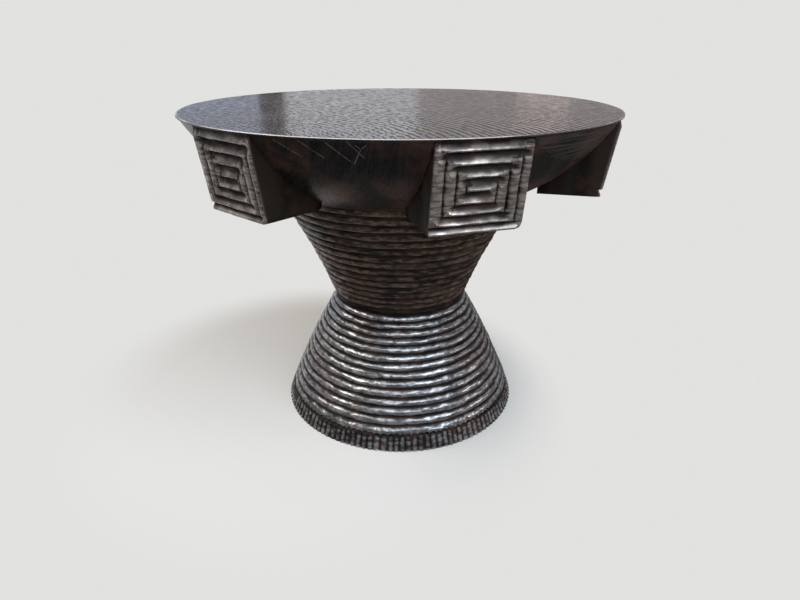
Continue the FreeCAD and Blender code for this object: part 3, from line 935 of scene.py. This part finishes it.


# Drying checks on the bowl, painted as pale lines that stand for the checks and a painted highlight along
# them, each from one place to another: azimuth in degrees and height in millimetres
CHECKS = (
    ((-132, 456), (-126.5, 437)),
    ((-126.5, 457), (-121.5, 437)),
    ((-121, 457), (-116, 433)),
    ((-116.5, 457), (-113.5, 439)),
    ((-116, 432), (-114, 449)),
    ((-114, 449), (-113, 453)),
    ((-114, 449), (-115, 453)),
)
CHECK_WIDTH = 0.0005

# The side of the bowl that shows its grain, and where it starts
GRAINY_AZIMUTH = -55
GRAINY_START = (0.262, 0.272)
BOWL_DARK = (0.005, 0.0045, 0.0045)
BOWL_LIGHT = (0.013, 0.0105, 0.0095)
BOWL_BROWN = (0.048, 0.024, 0.0165)
BOWL_GRAIN = (0.045, 0.04, 0.04)
BOWL_CHECK_HIGHLIGHT = (0.14, 0.13, 0.125)


def bowl_place(azimuth, height):
    """A point near the surface of the bowl, in metres, and the way outwards there."""
    share = (height - UNDERSIDE) / (TABLE_HEIGHT - RIM_THICKNESS - UNDERSIDE)
    radius = BOWL_FLOOR_RADIUS + (TOP_RADIUS - BOWL_FLOOR_RADIUS) * share
    radius += 4 * BOWL_BULGE * share * (1 - share)
    out = Vector((math.cos(math.radians(azimuth)), math.sin(math.radians(azimuth)), 0))
    return (out * radius + Vector((0, 0, height))) * MM, out


def check_line(tree, grain, first, last):
    """1 along a thin line on the bowl between two places."""
    start, out = bowl_place(*first)
    way = bowl_place(*last)[0] - start
    away = vector_maths(tree, "SUBTRACT", grain, start, "Vector")
    across = vector_maths(tree, "DOT_PRODUCT", away, way.cross(out).normalized())
    along = vector_maths(tree, "DOT_PRODUCT", away, way / way.length_squared)
    outwards = vector_maths(tree, "DOT_PRODUCT", away, out)
    line = stepped(tree, maths(tree, "ABSOLUTE", across), 0, CHECK_WIDTH, 1, 0)
    middle = maths(tree, "ABSOLUTE", maths(tree, "SUBTRACT", along, 0.5))
    line = maths(tree, "MULTIPLY", line, stepped(tree, middle, 0.4, 0.5, 1, 0))
    return maths(tree, "MULTIPLY", line, stepped(tree, outwards, -0.1, -0.05))


def bowl_wood():
    """The smooth dark side of the bowl, with brown patches where the stain is thin."""
    material, tree, shader = new_material("bowl_wood")
    grain = attribute(tree, "grain")
    rings = ring_places(tree, grain, BOWL_WOBBLE)
    fine = noise(tree, rings, detail=3.0, stretch=(300, 12, 6))
    cloud = noise(tree, grain, scale=11.0, detail=3.0)
    speck = noise(tree, grain, scale=500.0, detail=2.0)
    side = vector_maths(tree, "DOT_PRODUCT", grain, bowl_place(GRAINY_AZIMUTH, UNDERSIDE)[1])
    level = noise(tree, grain, detail=1.0, roughness=0.5, stretch=(12, 12, 600))
    level = maths(tree, "MULTIPLY", level, stepped(tree, side, *GRAINY_START))
    tone = blended(tree, stepped(tree, fine, *LIGHT_RANGE), BOWL_DARK, BOWL_LIGHT)
    tone = blended(tree, stepped(tree, cloud, 0.44, 0.62, 0, 0.9), tone, BOWL_BROWN)
    tone = blended(tree, stepped(tree, level, 0.42, 0.6, 0, 0.8), tone, BOWL_GRAIN)
    # Pale lines along the checks, partly a painted highlight on their edges
    checks = check_line(tree, grain, *CHECKS[0])
    for ends in CHECKS[1:]:
        checks = maths(tree, "MAXIMUM", checks, check_line(tree, grain, *ends))
    checks = maths(tree, "MULTIPLY", checks, stepped(tree, speck, 0.35, 0.55, 0.3, 1))
    link(tree, *blended(tree, checks, tone, BOWL_CHECK_HIGHLIGHT), shader, "Base Color")
    link(tree, *stepped(tree, speck, *SPECK_RANGE, 0.26, 0.38), shader, "Roughness")
    shader.inputs["Specular IOR Level"].default_value = 0.3
    layers = (
        (cloud, 0.25, 0.002),
        (fine, 0.5, 0.0005),
        (level, 0.8, 0.001),
        (speck, 0.2, 0.0001),
    )
    bump_chain(tree, shader, layers)
    return material


# Bare hardwood, dark and light: a place on the ramp and a colour
JOINT_TONES = ((0.3, (0.36, 0.23, 0.13)), (0.7, (0.6, 0.45, 0.3)))


def joint_wood():
    """Bare hardwood for the pieces that the joints hide."""
    material, tree, shader = new_material("joint_wood")
    place = (add_node(tree, "ShaderNodeTexCoord"), "Object")
    fibre = noise(tree, place, detail=6.0, roughness=0.5, stretch=(60, 600, 600))
    ramp = add_node(tree, "ShaderNodeValToRGB")
    for element, (position, colour) in zip(ramp.color_ramp.elements, JOINT_TONES):
        element.position = position
        element.color = (*colour, 1)
    link(tree, *fibre, ramp, "Fac")
    link(tree, ramp, "Color", shader, "Base Color")
    shader.inputs["Roughness"].default_value = 0.6
    bump_chain(tree, shader, ((fibre, 0.4, 0.0003),))
    return material


def lug_wood():
    return carved_wood(
        "lug_wood",
        marks=("run", (450, 70, 1), (160, 160, 1)),
        relief=(0.0004, 0.0007),
        stain=(0.011, 0.0075, 0.0055),
        red=(0.03, 0.013, 0.008),
        worn=(0.34, 0.294, 0.262),
        wear=(0.25, 1.0),
        break_up=0.8,
        metal=0.8,
        gloss=0.9,
        roughness=0.22,
    )


# On the cones the tool marks follow the ridges
ALONG_RIDGE = ("grain", (90, 90, 240), (30, 30, 260))
RIDGE_RELIEF = (0.001, 0.0005)


# The upper cone's crests are darker and browner than the lower cone's, with less metal and gloss
def upper_wood():
    return carved_wood(
        "upper_wood",
        marks=ALONG_RIDGE,
        relief=RIDGE_RELIEF,
        stain=(0.012, 0.008, 0.006),
        red=(0.035, 0.015, 0.009),
        worn=(0.11, 0.072, 0.052),
        wear=(0.6, 1.15),
        break_up=1.3,
        metal=0.3,
        gloss=0.6,
        roughness=0.3,
    )


def lower_wood():
    return carved_wood(
        "lower_wood",
        marks=ALONG_RIDGE,
        relief=RIDGE_RELIEF,
        stain=(0.01, 0.007, 0.0055),
        red=(0.03, 0.012, 0.0075),
        worn=(0.24, 0.24, 0.245),
        wear=(0.5, 1.0),
        break_up=1.1,
        metal=0.7,
        gloss=0.9,
        roughness=0.19,
    )


# The studio. Azimuth 0 points from the table to the camera and grows to the right of the picture
PALE = (0.758, 0.758, 0.744)
AMBIENT = (0.16, 0.16, 0.17)
FLOOR_COLOUR = (0.54, 0.535, 0.515)
FLOOR_ROUGHNESS = 0.9
FLOOR_HALF = 12

# The floor's shadow fades out between two distances from a point left of the axis
FADE_POINT = (-90, 0.15)
FADE_REACHES = (0.27, 0.44)

# Softboxes: azimuth, elevation, size, radiance, colour
SOFTBOXES = (
    ("key", 22, 46, (6.4, 3.4), 4.8, (0.8, 0.89, 1.0)),
    ("side", -84, 48, (4.6, 2.2), 7.2, (1.0, 0.925, 0.85)),
    ("fill", 84, 12, (2.4, 1.2), 4.6, (1.0, 0.87, 0.78)),
)
SOFTBOX_DISTANCE = 4.8
SOFTBOX_AIM = 0.25

# Cards that only reflections see, glowing as painted reflections of a room: azimuths, elevations, colour, and
# a distance if it differs
CARD_DISTANCE = 30
NEARER = 29
ROOM_CARDS = (
    ("card_brown", (110, 178.2), (-2, 24), (0.5, 0.455, 0.46)),
    ("card_patch", (163.7, 168.6), (-1, 5.6), (0.95, 0.79, 0.74), NEARER),
    ("card_blush", (163.5, 167.5), (7.2, 8.8), (0.85, 0.66, 0.65), NEARER),
    ("card_grey", (178.2, 191.2), (-2, 24), (0.78, 0.79, 0.84)),
    ("card_slit", (191.2, 193.5), (-2, 24), (0.05, 0.05, 0.055)),
    ("card_blue", (193.5, 250), (-2, 24), (0.47, 0.53, 0.67)),
    ("card_left", (250, 330), (-2, 42), (0.075, 0.08, 0.09)),
    ("card_near", (330, 470), (-2, 42), (0.07, 0.07, 0.08)),
)
CARD_AIM = 0.37
CARD_STEPS = 12

# A dark band on the floor round the table, which only reflections see: painted shade, the floor in shade as
# reflections show it
SHADE_REFLECTION_COLOUR = (0.05, 0.05, 0.05)
FLAG_AZIMUTHS = (-90, 190)
FLAG_REACHES = (0.2, 2.4)
FLAG_HEIGHT = 0.002
FLAG_STEPS = 24


def studio_direction(azimuth, elevation):
    """Direction from the table."""
    turn = math.radians(azimuth - CAMERA_HEADING)
    flat = math.cos(math.radians(elevation))
    return Vector((math.sin(turn) * flat, -math.cos(turn) * flat, math.sin(math.radians(elevation))))


def glow(tree, colour):
    return add_node(tree, "ShaderNodeEmission", Strength=1.0, Color=(*colour, 1))


def stage_mesh(name, points, faces, material):
    mesh = bpy.data.meshes.new(name)
    mesh.from_pydata(points, [], faces)
    thing = bpy.data.objects.new(name, mesh)
    bpy.context.scene.collection.objects.link(thing)
    mesh.materials.append(material)
    return thing


def make_reflected(name, azimuths, steps, lower, upper, colour):
    """A glowing band that only reflections see, between two circles: radius and height."""
    material, tree, _ = new_material(name)
    link(tree, glow(tree, colour), "Emission", tree.nodes["Material Output"], "Surface")
    points = []
    for k in range(steps + 1):
        way = studio_direction(azimuths[0] + (azimuths[1] - azimuths[0]) * k / steps, 0)
        points += [tuple(way * radius + Vector((0, 0, height))) for radius, height in (lower, upper)]
    faces = [(2 * k, 2 * k + 2, 2 * k + 3, 2 * k + 1) for k in range(steps)]
    thing = stage_mesh(name, points, faces, material)
    for ray in ("camera", "diffuse", "shadow", "transmission"):
        setattr(thing, f"visible_{ray}", False)


def make_card(name, azimuths, elevations, colour, distance=CARD_DISTANCE):
    ends = [(distance, distance * math.tan(math.radians(elevation)) + CARD_AIM) for elevation in elevations]
    make_reflected(name, azimuths, CARD_STEPS, *ends, colour)


# Painted shade that only reflections see
def make_shade_reflection():
    ends = [(reach, FLAG_HEIGHT) for reach in FLAG_REACHES]
    make_reflected("shade_reflection", FLAG_AZIMUTHS, FLAG_STEPS, *ends, SHADE_REFLECTION_COLOUR)


def make_floor():
    """A pale floor that keeps the shadow near the table and fades to the background's colour."""
    material, tree, shader = new_material("floor")
    shader.inputs["Base Color"].default_value = (*FLOOR_COLOUR, 1)
    shader.inputs["Roughness"].default_value = FLOOR_ROUGHNESS
    shader.inputs["Specular IOR Level"].default_value = 0.0
    place = (add_node(tree, "ShaderNodeTexCoord"), "Object")
    azimuth, distance = FADE_POINT
    apart = vector_maths(tree, "SUBTRACT", place, studio_direction(azimuth, 0) * distance, "Vector")
    reach = add_node(tree, "ShaderNodeVectorMath", operation="LENGTH")
    link(tree, *apart, reach, 0)
    both = add_node(tree, "ShaderNodeMixShader")
    link(tree, *stepped(tree, (reach, "Value"), *FADE_REACHES), both, "Fac")
    link(tree, shader, "BSDF", both, 1)
    link(tree, glow(tree, PALE), "Emission", both, 2)
    link(tree, both, "Shader", tree.nodes["Material Output"], "Surface")
    corners = [(x * FLOOR_HALF, y * FLOOR_HALF, 0) for x, y in ((-1, -1), (1, -1), (1, 1), (-1, 1))]
    stage_mesh("floor", corners, [(0, 1, 2, 3)], material)


def make_world():
    """Pale for the camera and in reflections, and a soft even light for the rest."""
    world = bpy.data.worlds.new("studio")
    bpy.context.scene.world = world
    world.use_nodes = True
    tree = world.node_tree
    path = add_node(tree, "ShaderNodeLightPath")
    seen = maths(tree, "MAXIMUM", (path, "Is Camera Ray"), (path, "Is Transmission Ray"))
    seen = maths(tree, "MAXIMUM", seen, (path, "Is Glossy Ray"))
    link(tree, *blended(tree, seen, AMBIENT, PALE), tree.nodes["Background"], "Color")


def make_softbox(name, azimuth, elevation, size, radiance, colour):
    data = bpy.data.lights.new(name, "AREA")
    data.shape = "RECTANGLE"
    data.size, data.size_y = size
    data.energy = radiance * math.pi * size[0] * size[1]
    data.color = colour
    lamp = bpy.data.objects.new(name, data)
    direction = studio_direction(azimuth, elevation)
    lamp.location = direction * SOFTBOX_DISTANCE + Vector((0, 0, SOFTBOX_AIM))
    lamp.rotation_euler = direction.to_track_quat("Z", "Y").to_euler()
    bpy.context.scene.collection.objects.link(lamp)


make_camera()
make_top(polished_top(), bowl_wood())
carved_lug = lug_wood()
for number in range(1, LUG_COUNT + 1):
    make_lug(number, carved_lug)
make_drum_upper(upper_wood())
make_drum_lower(lower_wood())
hidden_wood = joint_wood()
for name in ("lug_tongues", "waist_tenon", "top_tenon"):
    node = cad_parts[name]
    node.data.materials.clear()
    node.data.materials.append(hidden_wood)

make_floor()
make_world()
for softbox in SOFTBOXES:
    make_softbox(*softbox)
make_shade_reflection()
for card in ROOM_CARDS:
    make_card(*card)
bpy.context.scene.view_settings.view_transform = "Standard"
